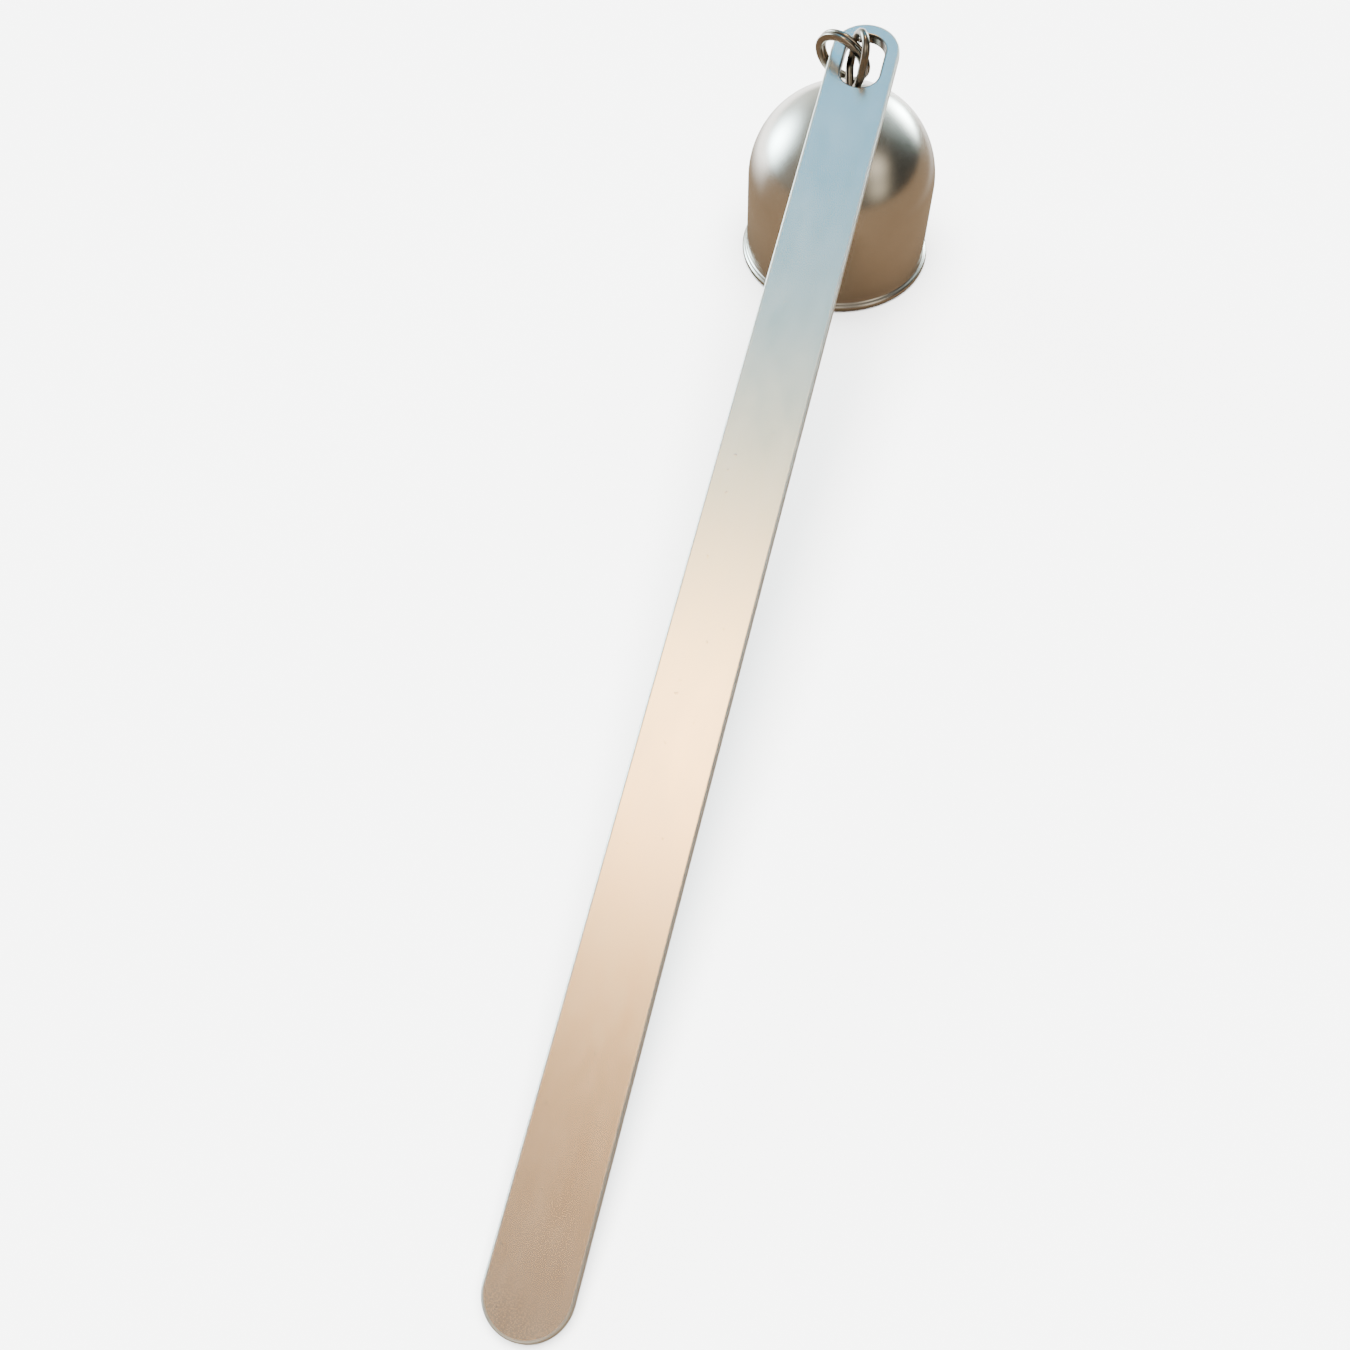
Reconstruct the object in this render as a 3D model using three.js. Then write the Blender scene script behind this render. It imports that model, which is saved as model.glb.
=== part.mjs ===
// Bell candle snuffer: a long flat handle with a slotted end, a two-turn split ring through the
// slot, and a drawn bell that hangs from the ring by a wire eye. Millimetres, +Z up.
// The bell stands on its rim and the handle slopes down from the top of the bell to the surface.
import * as THREE from "three";

// Bell: a dome on a slightly tapered skirt, with a crown hole and a rolled lip
const BELL_R = 15;
const BELL_WAIST_R = 14.75;
const BELL_LIP_R = 15.45;
const BELL_WALL = 0.7;
const SKIRT_H = 14.8;
const LIP_H = 1.2;
const LIP_BLEND = 0.3; // height over which the lip runs into the skirt
const RIM_CHAMFER = 0.15;
const CROWN_HOLE_R = 1.84;
const CROWN_Z = SKIRT_H + BELL_R;
const BELL_SEGMENTS = 64;

// Handle: a flat strip with round ends, eased edges and a slot near the high end
const HANDLE_W = 10.4;
const HANDLE_T = 1.8;
const HANDLE_SPAN = 182.6; // between the centres of the round ends
const HANDLE_EDGE = 0.3;
const SLOPE = THREE.MathUtils.degToRad(10.2);
const SLOT_R = 3.0;
const SLOT_SPAN = 4.6; // between the centres of the slot's round ends
const TIP_X = -4.96; // centre of the slotted end, measured from the bell's axis
const TIP_Z = 35.03; // its height on the top face

// Split ring: two flat turns of wire with a short crossover
const RING_R = 4.08; // middle of the wire
const RING_RADIAL = 1.25;
const RING_AXIAL = 0.66;
const RING_STEP = 0.74; // from turn to turn
const RING_CROSSOVER = 0.7; // radians
const RING_END_GAP = 0.12; // radians from each cut end to the crossover
const RING_CLIP = 0.16; // clipped corner of the wire

// Wire eye on the crown
const EYE_WIRE_R = 0.62;
const EYE_NECK = 0.78; // half the distance between the legs
const EYE_HALF_W = 2.42;
const EYE_H = 10.6;
const EYE_SHOULDER_Z = 3.8;
const EYE_PIVOT = 0.35; // the wire leans about the middle of the crown's thickness

// Layout: the origin is under the middle of the whole part
const BELL_X = -82.18;
const HANDLE_Y = 1.14; // the handle runs beside the bell's axis
const RING_AT = new THREE.Vector3(-3.34, -3.18, 34.14); // from the bell's axis and the handle's middle
const RING_NORMAL = new THREE.Vector3(0.895, -0.383, -0.228);
const EYE_YAW = 0.48;
const EYE_LEAN_X = -0.09;
const EYE_LEAN_Y = -0.19;

const UP = new THREE.Vector3(0, 0, 1);

function steel(color, roughness) {
  return new THREE.MeshStandardMaterial({ color, roughness, metalness: 1 });
}

function piece(name, geometry, material) {
  const mesh = new THREE.Mesh(geometry, material);
  mesh.name = name;
  return mesh;
}

// A closed slot-shaped outline along +X, its first round end centred on the origin.
function addStadium(path, span, radius) {
  path.absarc(0, 0, radius, Math.PI / 2, (3 * Math.PI) / 2, false);
  path.absarc(span, 0, radius, -Math.PI / 2, Math.PI / 2, false);
  path.closePath();
  return path;
}

// The strip lies along +X with its top face at z = 0.
function handleGeometry() {
  const outline = addStadium(new THREE.Shape(), HANDLE_SPAN, HANDLE_W / 2);
  outline.holes.push(addStadium(new THREE.Path(), SLOT_SPAN, SLOT_R));
  const geometry = new THREE.ExtrudeGeometry(outline, {
    depth: HANDLE_T - 2 * HANDLE_EDGE,
    bevelThickness: HANDLE_EDGE,
    bevelSize: HANDLE_EDGE,
    bevelOffset: -HANDLE_EDGE,
    bevelSegments: 2,
    curveSegments: 20,
  });
  return geometry.translate(0, 0, HANDLE_EDGE - HANDLE_T);
}

// Points of a circular arc in a half plane of radius and height.
function arcPoints(r, z, radius, from, to, count) {
  const points = [];
  for (let i = 0; i <= count; i += 1) {
    const a = from + ((to - from) * i) / count;
    points.push(new THREE.Vector2(r + radius * Math.cos(a), z + radius * Math.sin(a)));
  }
  return points;
}

// Angle at which a dome of this radius meets the crown hole.
function holeAngle(radius) {
  return Math.acos(CROWN_HOLE_R / radius);
}

function bellGeometry() {
  const inner = BELL_R - BELL_WALL;
  const waist = BELL_WAIST_R - BELL_WALL;
  const bead = LIP_H / 2;
  const beadR = BELL_LIP_R - bead;
  const profile = [
    ...arcPoints(beadR, bead, bead, -Math.PI / 2, Math.PI / 3, 8),
    new THREE.Vector2(BELL_WAIST_R, LIP_H + LIP_BLEND),
    ...arcPoints(0, SKIRT_H, BELL_R, 0, holeAngle(BELL_R), 16),
    ...arcPoints(0, SKIRT_H, inner, holeAngle(inner), 0, 14),
    new THREE.Vector2(waist, LIP_H),
    new THREE.Vector2(waist, RIM_CHAMFER),
    new THREE.Vector2(waist + RIM_CHAMFER, 0),
  ];
  profile.push(profile[0].clone());
  return new THREE.LatheGeometry(profile, BELL_SEGMENTS).rotateX(Math.PI / 2);
}

// Centre line of the split ring: a lower turn, a quick crossover, then an upper turn.
class SplitRingCurve extends THREE.Curve {
  getPoint(t, target = new THREE.Vector3()) {
    const gap = RING_CROSSOVER / 2 + RING_END_GAP;
    const angle = gap + t * (4 * Math.PI - 2 * gap);
    const start = 2 * Math.PI - RING_CROSSOVER / 2;
    const rise = THREE.MathUtils.smoothstep(angle, start, start + RING_CROSSOVER);
    const z = (rise - 0.5) * RING_STEP;
    return target.set(RING_R * Math.cos(angle), RING_R * Math.sin(angle), z);
  }
}

// A rectangle with clipped corners, for the flat wire of the ring.
function flatWireSection(width, height, clip) {
  const x = width / 2;
  const y = height / 2;
  const shape = new THREE.Shape();
  shape.moveTo(-x + clip, -y);
  shape.lineTo(x - clip, -y);
  shape.lineTo(x, -y + clip);
  shape.lineTo(x, y - clip);
  shape.lineTo(x - clip, y);
  shape.lineTo(-x + clip, y);
  shape.lineTo(-x, y - clip);
  shape.lineTo(-x, -y + clip);
  shape.closePath();
  return shape;
}

function ringGeometry() {
  return new THREE.ExtrudeGeometry(flatWireSection(RING_AXIAL, RING_RADIAL, RING_CLIP), {
    steps: 96,
    extrudePath: new SplitRingCurve(),
  });
}

// The eye is bent from one wire: spread legs under the crown, a narrow neck and a tall loop.
function eyeCurve() {
  const arcZ = EYE_H - EYE_WIRE_R - EYE_HALF_W;
  const side = (sign) =>
    [
      [3.0, -2.9],
      [1.9, -2.5],
      [1.1, -1.9],
      [EYE_NECK, -1.0],
      [EYE_NECK, 0.8],
      [(EYE_NECK + EYE_HALF_W) / 2, (0.8 + EYE_SHOULDER_Z) / 2],
      [EYE_HALF_W, EYE_SHOULDER_Z],
      [EYE_HALF_W, (EYE_SHOULDER_Z + arcZ) / 2],
      [EYE_HALF_W, arcZ],
    ].map(([x, z]) => new THREE.Vector3(sign * x, 0, z));
  const arch = arcPoints(0, arcZ, EYE_HALF_W, 0, Math.PI, 6)
    .slice(1, -1)
    .map((p) => new THREE.Vector3(p.x, 0, p.y));
  return new THREE.CatmullRomCurve3([...side(1), ...arch, ...side(-1).reverse()]);
}

function eyeGeometry() {
  const section = new THREE.Shape();
  section.absarc(0, 0, EYE_WIRE_R, 0, 2 * Math.PI, false);
  return new THREE.ExtrudeGeometry(section, {
    steps: 64,
    curveSegments: 5,
    extrudePath: eyeCurve(),
  });
}

const group = new THREE.Group();
group.name = "candle_snuffer";
group.position.x = BELL_X;

const bell = piece("bell", bellGeometry(), steel(0xcfccc6, 0.16));
group.add(bell);

const eye = piece("bell_eye", eyeGeometry(), steel(0xb9b0a2, 0.2));
eye.position.z = EYE_PIVOT;
const eyeStand = new THREE.Group();
eyeStand.position.z = CROWN_Z - EYE_PIVOT;
eyeStand.rotation.set(EYE_LEAN_X, EYE_LEAN_Y, EYE_YAW, "YXZ");
eyeStand.add(eye);
group.add(eyeStand);

const onHandle = new THREE.Group();
onHandle.position.y = HANDLE_Y;
group.add(onHandle);

const handle = piece("handle", handleGeometry(), steel(0xc9c6bd, 0.42));
handle.position.set(TIP_X, 0, TIP_Z);
handle.rotation.y = SLOPE;
onHandle.add(handle);

const ring = piece("split_ring", ringGeometry(), steel(0xc4bfb4, 0.18));
ring.position.copy(RING_AT);
ring.quaternion.setFromUnitVectors(UP, RING_NORMAL.clone().normalize());
onHandle.add(ring);

export default group;
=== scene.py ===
"""Looks of the bell candle snuffer: a satin handle strip, a split ring, a wire eye and a bell."""

import math

import bmesh
import bpy
from mathutils import Matrix, Vector


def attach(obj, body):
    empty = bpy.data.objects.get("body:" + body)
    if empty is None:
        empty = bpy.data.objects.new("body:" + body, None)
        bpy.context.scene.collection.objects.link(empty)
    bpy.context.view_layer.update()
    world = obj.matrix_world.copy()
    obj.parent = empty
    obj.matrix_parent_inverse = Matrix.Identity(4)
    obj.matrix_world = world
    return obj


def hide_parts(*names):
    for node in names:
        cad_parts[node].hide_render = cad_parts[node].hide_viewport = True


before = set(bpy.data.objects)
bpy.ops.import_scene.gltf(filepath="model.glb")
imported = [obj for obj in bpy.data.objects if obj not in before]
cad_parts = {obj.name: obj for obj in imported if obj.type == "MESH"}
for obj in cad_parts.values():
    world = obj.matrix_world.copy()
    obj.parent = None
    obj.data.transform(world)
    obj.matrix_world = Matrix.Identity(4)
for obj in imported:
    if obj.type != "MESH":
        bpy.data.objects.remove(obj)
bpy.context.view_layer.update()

# Bell, in metres as in the CAD part
BELL_X = -0.08218
BELL_R = 0.015
WAIST_R = 0.01475
LIP_R = 0.01545
LIP_H = 0.0012
LIP_BLEND = 0.0003  # height over which the lip runs into the skirt
WALL = 0.0007
SKIRT_H = 0.0148
HOLE_R = 0.00184
CROWN_Z = SKIRT_H + BELL_R
RIM_CHAMFER = 0.00015

# Handle: its frame has the slotted end's centre at the origin and the top face at z = 0
HANDLE_W = 0.0104
HANDLE_T = 0.0018
SPAN = 0.1826  # between the centres of the round ends
EDGE = 0.0003
SLOT_R = 0.0030
SLOT_SPAN = 0.0046
SLOPE = math.radians(10.2)
HANDLE_Y = 0.00114
TIP = Vector((BELL_X - 0.00496, HANDLE_Y, 0.03503))

# Split ring
RING_R = 0.00408
RING_RADIAL = 0.00125
RING_AXIAL = 0.00066
RING_CORNER = 0.00024
RING_STEP = 0.00074  # from turn to turn
CROSSOVER = 0.7  # radians
END_GAP = 0.12  # radians from each cut end to the crossover
RING_AT = Vector((BELL_X - 0.00334, HANDLE_Y - 0.00318, 0.03414))
RING_NORMAL = Vector((0.895, -0.383, -0.228))

# Wire eye
EYE_R = 0.00062
NECK = 0.00078  # half the distance between the legs
NECK_TOP = 0.0008
HALF_W = 0.00242
EYE_H = 0.0106
SHOULDER = 0.0038
PIVOT = 0.00035
EYE_YAW = 0.48
EYE_LEAN_X = -0.09
EYE_LEAN_Y = -0.19

Z_AXIS = Vector((0, 0, 1))


# ---------------------------------------------------------------- materials
def new_material(name):
    mat = bpy.data.materials.new(name)
    mat.use_nodes = True
    nt = mat.node_tree
    return mat, nt, nt.nodes["Principled BSDF"]


def node(nt, kind, **values):
    """A new node with its sockets, or failing that its settings, set by name."""
    n = nt.nodes.new(kind)
    for key, value in values.items():
        if key in n.inputs:
            n.inputs[key].default_value = value
        else:
            setattr(n, key, value)
    return n


def object_place(nt):
    """The shaded point in its own object's frame."""
    return node(nt, "ShaderNodeTexCoord").outputs["Object"]


def noise(nt, scale, detail, rough):
    """Noise in the object's frame, with a scale per axis in cells per metre."""
    mapping = node(nt, "ShaderNodeMapping", Scale=scale)
    nt.links.new(object_place(nt), mapping.inputs["Vector"])
    n = node(nt, "ShaderNodeTexNoise", Scale=1.0, Detail=detail, Roughness=rough)
    nt.links.new(mapping.outputs["Vector"], n.inputs["Vector"])
    return n.outputs["Fac"]


def ramp(nt, source, stops):
    """A colour ramp. A stop's value is a colour or a grey level."""
    r = node(nt, "ShaderNodeValToRGB")
    els = r.color_ramp.elements
    while len(els) < len(stops):
        els.new(0.5)
    for el, (pos, value) in zip(els, stops):
        el.position = pos
        el.color = (*value, 1) if isinstance(value, tuple) else (value, value, value, 1)
    nt.links.new(source, r.inputs["Fac"])
    return r.outputs["Color"]


def span(nt, source, low, high, lo=0.3, hi=0.7):
    """low where the source is lo or less, high where it is hi or more, and even between them."""
    m = node(nt, "ShaderNodeMapRange")
    for key, value in (("From Min", lo), ("From Max", hi), ("To Min", low), ("To Max", high)):
        m.inputs[key].default_value = value
    nt.links.new(source, m.inputs["Value"])
    return m.outputs["Result"]


def bump(nt, height, strength, distance, normal=None):
    b = node(nt, "ShaderNodeBump", Strength=strength, Distance=distance)
    nt.links.new(height, b.inputs["Height"])
    if normal is not None:
        nt.links.new(normal, b.inputs["Normal"])
    return b.outputs["Normal"]


def mix_colour(nt, fac, a, b, mode="MIX"):
    m = node(nt, "ShaderNodeMix", data_type="RGBA", blend_type=mode)
    for socket, value in ((m.inputs[0], fac), (m.inputs[6], a), (m.inputs[7], b)):
        if isinstance(value, tuple):
            socket.default_value = (*value, 1)
        else:
            nt.links.new(value, socket)
    return m.outputs[2]


def maths(nt, operation, a, b=0.0):
    m = node(nt, "ShaderNodeMath", operation=operation)
    for socket, value in zip(m.inputs, (a, b)):
        if isinstance(value, float):
            socket.default_value = value
        else:
            nt.links.new(value, socket)
    return m.outputs["Value"]


def separate(nt, vector):
    split = node(nt, "ShaderNodeSeparateXYZ")
    nt.links.new(vector, split.inputs["Vector"])
    return split.outputs


def hypotenuse(nt, a, b):
    squares = [maths(nt, "MULTIPLY", side, side) for side in (a, b)]
    return maths(nt, "SQRT", maths(nt, "ADD", *squares))


def from_capsule(nt, length):
    """Distance in the strip's plane from the line that joins the centres of two round ends."""
    place = separate(nt, object_place(nt))
    beyond = maths(nt, "ABSOLUTE", maths(nt, "SUBTRACT", place["X"], length / 2))
    beyond = maths(nt, "MAXIMUM", maths(nt, "SUBTRACT", beyond, length / 2), 0.0)
    return hypotenuse(nt, beyond, place["Y"])


def satin_steel():
    """Handle: lengthwise brushing, cloudy patches, a few specks, a painted highlight along the rim and
    painted shade on the slot wall.
    """
    mat, nt, bsdf = new_material("handle_steel")
    bsdf.inputs["Metallic"].default_value = 1.0
    brush = noise(nt, (60, 2600, 900), 6.0, 0.6)
    cloud = noise(nt, (90, 220, 220), 5.0, 0.6)
    speck = noise(nt, (900, 900, 900), 2.0, 0.5)
    spots = ramp(nt, speck, [(0.0, 0.0), (0.70, 0.0), (0.76, 1.0)])
    base = ramp(nt, cloud, [(0.30, (0.575, 0.552, 0.512)), (0.70, (0.66, 0.64, 0.607))])
    lined = mix_colour(nt, span(nt, brush, 0.0, 0.16), base, (0.70, 0.68, 0.65))
    worn = mix_colour(nt, span(nt, spots, 0.0, 0.3, 0.0, 1.0), lined, (0.30, 0.26, 0.22))
    edge = HANDLE_W / 2
    rim = span(nt, from_capsule(nt, SPAN), 0.0, 1.0, edge - 0.00045, edge - 0.0001)
    # Painted shade: the slot's wall goes near black, fading out across its eased edge, for the shade
    # inside the slot.
    slot = span(nt, from_capsule(nt, SLOT_SPAN), 1.0, 0.0, SLOT_R + 0.0001, SLOT_R + 0.0004)
    # Painted highlight: the band along the eased edge is paler, for the light that it catches. The
    # same band is also rougher.
    rim_highlight = mix_colour(nt, rim, worn, (0.74, 0.71, 0.66))
    nt.links.new(mix_colour(nt, slot, rim_highlight, (0.08, 0.07, 0.06)), bsdf.inputs["Base Color"])
    rough = maths(nt, "ADD", span(nt, cloud, 0.235, 0.268), span(nt, rim, 0.0, 0.22, 0.0, 1.0))
    nt.links.new(rough, bsdf.inputs["Roughness"])
    fine = bump(nt, brush, 0.05, 0.00002)
    nt.links.new(bump(nt, spots, 0.15, 0.00004, fine), bsdf.inputs["Normal"])
    return mat


def polished_steel(name, low, high, rough_low, rough_high, lines):
    """Soft polish with handling haze and faint lines round the axis, in lines per metre."""
    mat, nt, bsdf = new_material(name)
    bsdf.inputs["Metallic"].default_value = 1.0
    turned = noise(nt, (20, 20, lines), 5.0, 0.6)
    haze = noise(nt, (120, 120, 120), 5.0, 0.6)
    nt.links.new(ramp(nt, haze, [(0.3, low), (0.7, high)]), bsdf.inputs["Base Color"])
    rough = maths(nt, "ADD", span(nt, haze, rough_low, rough_high), span(nt, turned, 0.0, 0.012))
    nt.links.new(rough, bsdf.inputs["Roughness"])
    nt.links.new(bump(nt, turned, 0.06, 0.00002), bsdf.inputs["Normal"])
    return mat


# ---------------------------------------------------------------- meshes
def add_mesh(name, shape, mat, body, stands_for, matrix=Matrix(), flat=None):
    """A piece from its vertices and faces. flat says of a normal whether its face stays flat."""
    verts, faces = shape
    mesh = bpy.data.meshes.new(name)
    mesh.from_pydata([tuple(v) for v in verts], [], faces)
    bm = bmesh.new()
    bm.from_mesh(mesh)
    bmesh.ops.recalc_face_normals(bm, faces=bm.faces)
    bm.to_mesh(mesh)
    bm.free()
    mesh.materials.append(mat)
    for poly in mesh.polygons:
        poly.use_smooth = not (flat and flat(poly.normal))
    obj = bpy.data.objects.new(name, mesh)
    bpy.context.scene.collection.objects.link(obj)
    obj.matrix_world = matrix
    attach(obj, body)
    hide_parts(stands_for)


def arc(r, z, radius, start, end, count):
    steps = [start + (end - start) * i / count for i in range(count + 1)]
    return [(r + radius * math.cos(a), z + radius * math.sin(a)) for a in steps]


def hole_angle(radius):
    """Angle at which a dome of this radius meets the crown hole."""
    return math.acos(HOLE_R / radius)


def bell_profile():
    """Radius and height round the wall: lip, outside, eased crown hole, inside, chamfered rim."""
    inner, waist, bead = BELL_R - WALL, WAIST_R - WALL, LIP_H / 2
    pts = arc(LIP_R - bead, bead, bead, -math.pi / 2, math.pi * 0.42, 18)
    pts += [(WAIST_R + 0.00006, LIP_H + 0.4 * LIP_BLEND), (WAIST_R, LIP_H + LIP_BLEND)]
    pts += [(WAIST_R + 0.00002, 0.0022)]
    pts += arc(0, SKIRT_H, BELL_R, 0, hole_angle(BELL_R) - 0.012, 48)
    pts += [(HOLE_R + 0.00005, CROWN_Z - 0.00012), (HOLE_R, CROWN_Z - 0.00025)]
    pts += [(HOLE_R, CROWN_Z - 0.0006)]
    pts += arc(0, SKIRT_H, inner, hole_angle(inner) - 0.01, 0, 40)
    pts += [(waist, LIP_H), (waist, RIM_CHAMFER), (waist + RIM_CHAMFER, 0)]
    return pts


def lathe(profile, segments):
    verts, faces, n = [], [], len(profile)
    for s in range(segments):
        a = 2 * math.pi * s / segments
        verts += [(r * math.cos(a), r * math.sin(a), z) for r, z in profile]
    for s in range(segments):
        a, b = s * n, (s + 1) % segments * n
        faces += [(a + i, b + i, b + (i + 1) % n, a + (i + 1) % n) for i in range(n)]
    return verts, faces


def stadium(length, radius, count):
    """A closed outline with round ends, the first of them centred on the origin."""
    half = [math.pi / 2 + math.pi * i / count for i in range(count + 1)]
    loop = [(radius * math.cos(a), radius * math.sin(a)) for a in half]
    return loop + [(length - radius * math.cos(a), -radius * math.sin(a)) for a in half]


def edge_profile():
    """Offset inwards and height of the eased edge, from the top face to the bottom face."""
    quarter = [math.pi / 2 * i / 6 for i in range(7)]
    top = [(EDGE * (1 - math.sin(a)), -EDGE * (1 - math.cos(a))) for a in quarter]
    return top + [(o, -HANDLE_T - z) for o, z in reversed(top)]


def handle_mesh():
    """Walls of the outline and of the slot, joined point to point across the top and bottom faces."""
    verts, faces, walls = [], [], []
    for length, radius, sign in ((SPAN, HANDLE_W / 2, 1), (SLOT_SPAN, SLOT_R, -1)):
        loops = []
        for inset, z in edge_profile():
            points = stadium(length, radius - sign * inset, 48)
            loops.append(range(len(verts), len(verts) + len(points)))
            verts += [(x, y, z) for x, y in points]
        walls.append(loops)
    outer, inner = walls
    bands = [pair for loops in walls for pair in zip(loops, loops[1:])]
    for a, b in bands + [(outer[0], inner[0]), (outer[-1], inner[-1])]:
        for i in range(len(a)):
            j = (i + 1) % len(a)
            faces.append((a[i], a[j], b[j], b[i]))
    return verts, faces


def sweep(path, frames, section):
    """A closed section carried along an open path, with flat ends. frames gives two axes per point."""
    verts, faces, n = [], [], len(section)
    for p, (a, b) in zip(path, frames):
        verts += [p + a * x + b * y for x, y in section]
    for k in range(len(path) - 1):
        for i in range(n):
            j = (i + 1) % n
            faces.append((k * n + i, k * n + j, (k + 1) * n + j, (k + 1) * n + i))
    faces.append(tuple(range(n)))
    faces.append(tuple(range((len(path) - 1) * n, len(path) * n)))
    return verts, faces


def rounded_section(width, height, radius, count=4):
    """A rectangle with round corners, count steps to a corner."""
    pts = []
    for cx, cy, start in ((1, 1, 0), (-1, 1, 90), (-1, -1, 180), (1, -1, 270)):
        for i in range(count + 1):
            a = math.radians(start + 90 * i / count)
            x = cx * (width / 2 - radius) + radius * math.cos(a)
            y = cy * (height / 2 - radius) + radius * math.sin(a)
            pts.append((x, y))
    return pts


def smoothstep(x):
    x = min(max(x, 0), 1)
    return x * x * (3 - 2 * x)


def ring_mesh():
    """Two flat turns of wire with a short crossover between them."""
    gap = CROSSOVER / 2 + END_GAP
    count, path, frames = 300, [], []
    for k in range(count + 1):
        angle = gap + (4 * math.pi - 2 * gap) * k / count
        rise = smoothstep((angle - 2 * math.pi + CROSSOVER / 2) / CROSSOVER)
        out = Vector((math.cos(angle), math.sin(angle), 0))
        path.append(out * RING_R + Vector((0, 0, (rise - 0.5) * RING_STEP)))
        frames.append((Z_AXIS, out))
    return sweep(path, frames, rounded_section(RING_AXIAL, RING_RADIAL, RING_CORNER))


def eye_points():
    """The eye's centre line: a spread leg, the neck, the loop and the other leg."""
    top = EYE_H - EYE_R - HALF_W
    half = [
        (0.0030, -0.0029), (0.0019, -0.0025), (0.0011, -0.0019), (NECK, -0.0010), (NECK, NECK_TOP),
        ((NECK + HALF_W) / 2, (NECK_TOP + SHOULDER) / 2), (HALF_W, SHOULDER),
        (HALF_W, (SHOULDER + top) / 2), (HALF_W, top),
    ]
    arch = arc(0, top, HALF_W, 0, math.pi, 6)[1:-1]
    return half + arch + [(-x, z) for x, z in reversed(half)]


def catmull(points, per):
    """Centripetal Catmull-Rom through the points."""
    pts = [Vector(p) for p in points]
    pts = [2 * pts[0] - pts[1]] + pts + [2 * pts[-1] - pts[-2]]
    out = []
    for i in range(1, len(pts) - 2):
        p0, p1, p2, p3 = pts[i - 1 : i + 3]
        t0 = 0.0
        t1 = t0 + (p1 - p0).length ** 0.5
        t2 = t1 + (p2 - p1).length ** 0.5
        t3 = t2 + (p3 - p2).length ** 0.5
        for k in range(per):
            t = t1 + (t2 - t1) * k / per
            a1 = p0.lerp(p1, (t - t0) / (t1 - t0))
            a2 = p1.lerp(p2, (t - t1) / (t2 - t1))
            a3 = p2.lerp(p3, (t - t2) / (t3 - t2))
            b1 = a1.lerp(a2, (t - t0) / (t2 - t0))
            b2 = a2.lerp(a3, (t - t1) / (t3 - t1))
            out.append(b1.lerp(b2, (t - t1) / (t2 - t1)))
    return out + [pts[-2]]


def eye_stand():
    """Where the eye stands: on the crown, turned and leaning about a point just inside the hole."""
    lean = Matrix.Rotation(EYE_LEAN_Y, 4, "Y") @ Matrix.Rotation(EYE_LEAN_X, 4, "X")
    turn = lean @ Matrix.Rotation(EYE_YAW, 4, "Z")
    foot = Matrix.Translation((BELL_X, 0, CROWN_Z - PIVOT))
    return foot @ turn @ Matrix.Translation((0, 0, PIVOT))


def eye_mesh():
    """The round wire of the eye, with its vertices already where the eye stands."""
    path = [Vector((p.x, 0, p.y)) for p in catmull(eye_points(), 12)]
    side = Vector((0, 1, 0))
    frames = []
    for i in range(len(path)):
        along = (path[min(i + 1, len(path) - 1)] - path[max(i - 1, 0)]).normalized()
        frames.append((side.cross(along).normalized(), side))
    turns = [math.tau * i / 20 for i in range(20)]
    section = [(EYE_R * math.cos(a), EYE_R * math.sin(a)) for a in turns]
    verts, faces = sweep(path, frames, section)
    stand = eye_stand()
    return [stand @ v for v in verts], faces


def pieces():
    bell_mat = polished_steel("bell_steel", (0.52, 0.48, 0.43), (0.58, 0.54, 0.49), 0.20, 0.258, 1600)
    ring_mat = polished_steel("ring_steel", (0.23, 0.20, 0.165), (0.34, 0.305, 0.26), 0.12, 0.20, 900)
    # The eye's wire is a darker copy of the ring's steel: painted shade, for where it sits under the
    # handle's slot.
    eye_mat = polished_steel("eye_wire", (0.15, 0.13, 0.105), (0.25, 0.225, 0.19), 0.12, 0.20, 900)
    bell_place = Matrix.Translation((BELL_X, 0, 0))
    handle_place = Matrix.Translation(TIP) @ Matrix.Rotation(SLOPE, 4, "Y")
    ring_turn = Z_AXIS.rotation_difference(RING_NORMAL.normalized()).to_matrix().to_4x4()
    ring_place = Matrix.Translation(RING_AT) @ ring_turn
    add_mesh("bell_fine", lathe(bell_profile(), 192), bell_mat, "bell", "bell", bell_place)
    add_mesh("handle_fine", handle_mesh(), satin_steel(), "handle", "handle",
             handle_place, flat=lambda normal: abs(normal.z) > 0.999)
    add_mesh("split_ring_fine", ring_mesh(), ring_mat, "ring", "split_ring", ring_place)
    add_mesh("bell_eye_fine", eye_mesh(), eye_mat, "bell", "bell_eye")


# ---------------------------------------------------------------- stage
def floor_colour(nt):
    """White to the eye. Mirror rays find brown, and a pale area on the -X side of the bell."""
    place = separate(nt, object_place(nt))
    ahead = maths(nt, "SUBTRACT", place["X"], BELL_X)
    away = span(nt, hypotenuse(nt, ahead, place["Y"]), 0.0, 1.0, 0.035, 0.08)
    pale = maths(nt, "MULTIPLY", away, span(nt, ahead, 1.0, 0.0, -0.03, 0.01))
    pale = maths(nt, "MULTIPLY", pale, span(nt, place["Y"], 1.0, 0.0, 0.015, 0.05))
    mirrored = mix_colour(nt, pale, (0.070, 0.049, 0.031), (0.59, 0.59, 0.59))
    by_mirror = node(nt, "ShaderNodeLightPath").outputs["Is Glossy Ray"]
    return mix_colour(nt, by_mirror, (0.88, 0.88, 0.88), mirrored)


def floor():
    bpy.ops.mesh.primitive_plane_add(size=6, location=(0, 0, -0.0001))
    obj = bpy.context.object
    obj.name = "floor"
    mat, nt, bsdf = new_material("floor_paint")
    nt.links.new(floor_colour(nt), bsdf.inputs["Base Color"])
    bsdf.inputs["Roughness"].default_value = 0.9
    bsdf.inputs["Specular IOR Level"].default_value = 0.05
    obj.data.materials.append(mat)


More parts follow.
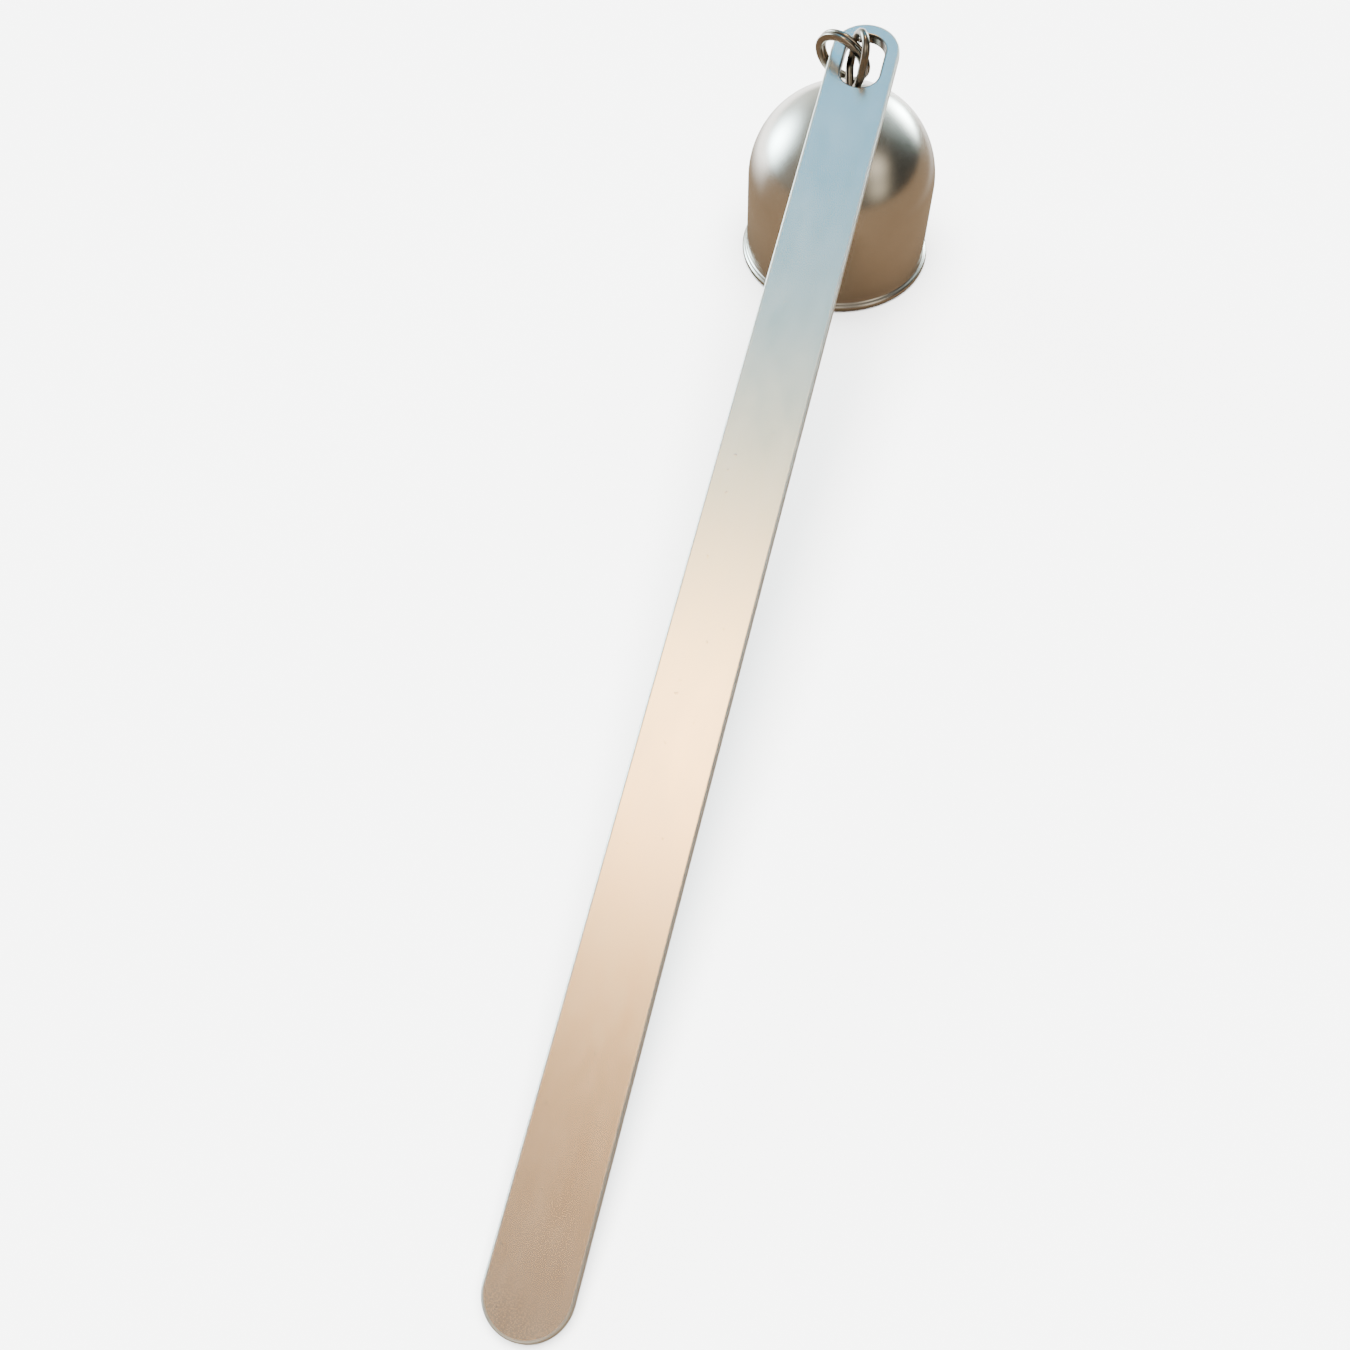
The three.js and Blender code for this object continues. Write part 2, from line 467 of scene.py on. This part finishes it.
# Soft lights of the surround: direction, sharpness, colour and brightness
GLOWS = (
    ((-0.91, 0.40, 0.10), 52, (36.0, 45.0, 46.5)),  # far window
    ((-0.27, -0.92, 0.22), 30, (23.0, 31.0, 34.0)),  # side window
    ((-0.185, -0.127, 0.975), 285, (36.0, 19.5, 7.0)),  # warm lamp overhead
    ((0.085, -0.129, 0.988), 350, (2.0, 0.80, 0.12)),  # its amber edge
    ((-0.279, -0.124, 0.952), 187, (0.17, 2.4, 2.0)),  # pale ceiling beside it
    ((-0.573, -0.161, 0.803), 32, (0.04, 1.2, 2.2)),  # cool ceiling beyond
    ((0.33, 0.70, 0.63), 45, (2.0, 1.85, 1.5)),  # pale curtain beside the table
    ((0.52, 0.80, 0.28), 45, (1.2, 1.1, 0.85)),  # its lower half
    ((-0.70, -0.65, 0.10), 10, (1.6, 1.9, 1.9)),  # between the two windows
    ((-0.75, 0.42, 0.52), 14, (0.65, 0.9, 0.95)),  # ceiling above the far window
    ((0.75, -0.10, 0.65), 15, (2.0, 1.85, 1.6)),  # room on the near side
)


def glow_lobe(nt, towards, direction, sharpness):
    """1 towards the glow's direction, falling off all round it."""
    facing = node(nt, "ShaderNodeVectorMath", operation="DOT_PRODUCT")
    nt.links.new(towards, facing.inputs[0])
    facing.inputs[1].default_value = Vector(direction).normalized()
    front = maths(nt, "MAXIMUM", facing.outputs["Value"], 0.0)
    return maths(nt, "POWER", front, float(sharpness))


def soft_world():
    """A dim warm room, darkest on the +Y side, with soft glows. The camera sees plain pale sky."""
    world = bpy.data.worlds.new("studio")
    bpy.context.scene.world = world
    world.use_nodes = True
    nt = world.node_tree
    back = nt.nodes["Background"]
    towards = node(nt, "ShaderNodeTexCoord").outputs["Generated"]
    side = span(nt, separate(nt, towards)["Y"], 0.0, 1.0, -1.0, 1.0)
    light, middle, dark = (0.40, 0.37, 0.31), (0.34, 0.31, 0.26), (0.085, 0.086, 0.077)
    colour = ramp(nt, side, [(0.30, light), (0.62, middle), (0.90, dark)])
    for direction, sharpness, glow in GLOWS:
        colour = mix_colour(nt, glow_lobe(nt, towards, direction, sharpness), colour, glow, "ADD")
    seen = node(nt, "ShaderNodeLightPath").outputs["Is Camera Ray"]
    nt.links.new(mix_colour(nt, seen, colour, (4.8, 4.8, 4.8)), back.inputs["Color"])
    back.inputs["Strength"].default_value = 1.0


def fill_light():
    """A wide soft light overhead, which the metal doesn't mirror."""
    data = bpy.data.lights.new("fill", "AREA")
    data.shape = "RECTANGLE"
    data.size, data.size_y = 1.6, 1.6
    data.energy = 225.0
    obj = bpy.data.objects.new("fill", data)
    bpy.context.scene.collection.objects.link(obj)
    obj.location = (0.0, 0.0, 1.6)
    obj.visible_glossy = False


def camera():
    """Looks down along the handle from above its free end."""
    place = Vector((0.12962, 0.02770, 0.1841))
    heading, pitch = math.radians(194.4), math.radians(55.72)
    data = bpy.data.cameras.new("camera")
    obj = bpy.data.objects.new("camera", data)
    bpy.context.scene.collection.objects.link(obj)
    level = Vector((math.cos(heading), math.sin(heading), 0))
    look = level * math.cos(pitch) - Z_AXIS * math.sin(pitch)
    right = look.cross(Z_AXIS).normalized()
    turn = Matrix((right, right.cross(look), -look)).transposed().to_4x4()
    obj.matrix_world = Matrix.Translation(place) @ turn
    data.sensor_width = 36
    data.lens = 42.88
    data.shift_x, data.shift_y = -0.0044, -0.0022
    data.clip_start, data.clip_end = 0.005, 20
    bpy.context.scene.camera = obj


pieces()
floor()
soft_world()
fill_light()
camera()
